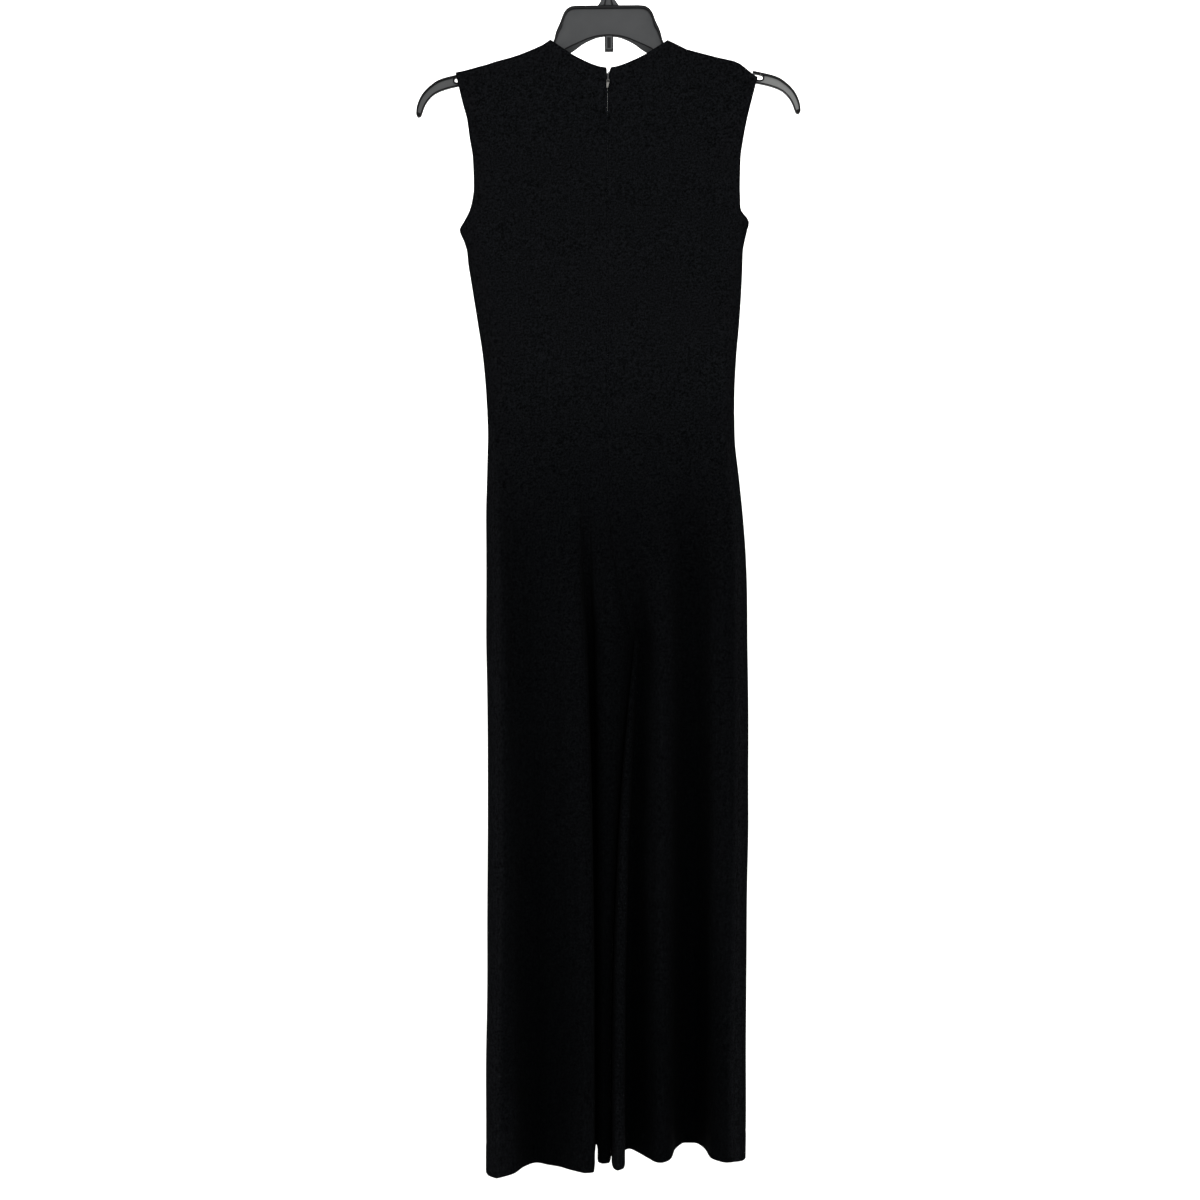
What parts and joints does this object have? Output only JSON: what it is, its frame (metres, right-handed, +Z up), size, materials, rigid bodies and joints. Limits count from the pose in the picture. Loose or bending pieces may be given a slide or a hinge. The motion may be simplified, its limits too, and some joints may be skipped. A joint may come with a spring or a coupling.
{
  "type": "sleeveless wide-leg jumpsuit on a plastic hanger",
  "caption": "Black sleeveless jumpsuit, centre-back zip, round neck and wide folded legs, hung flat on a moulded notched hanger.",
  "frame": {"origin": "inside top of the hanger's hook, where the rail or nail carries it", "axes": "+Z up; the garment's back with the zip faces -Y, its front faces +Y; +X is the wearer's right"},
  "size_m": [0.4835, 0.1475, 1.5361],
  "materials": {
    "crepe": "matt black crepe jersey",
    "tape": "black woven zip tape and nylon coil",
    "nickel": "bright plated zinc",
    "plastic": "charcoal moulded polystyrene, satin"
  },
  "bodies": {
    "garment": {"back_left": "crepe", "back_right": "crepe", "front_left": "crepe", "front_right": "crepe", "zip_tape_left": "tape", "zip_tape_right": "tape", "zip_coil": "tape", "zip_slider": "nickel", "hanger_body": "plastic", "hanger_peg": "plastic", "hanger_hook": "plastic"},
    "pull": {"zip_pull": "nickel"}
  },
  "joints": [
    {"name": "pull_swing", "type": "hinge", "parent": "garment", "child": "pull", "pos_m": [0, -0.0109, -0.1752], "axis": [-1, 0, 0], "range_deg": [0, 130]}
  ]
}
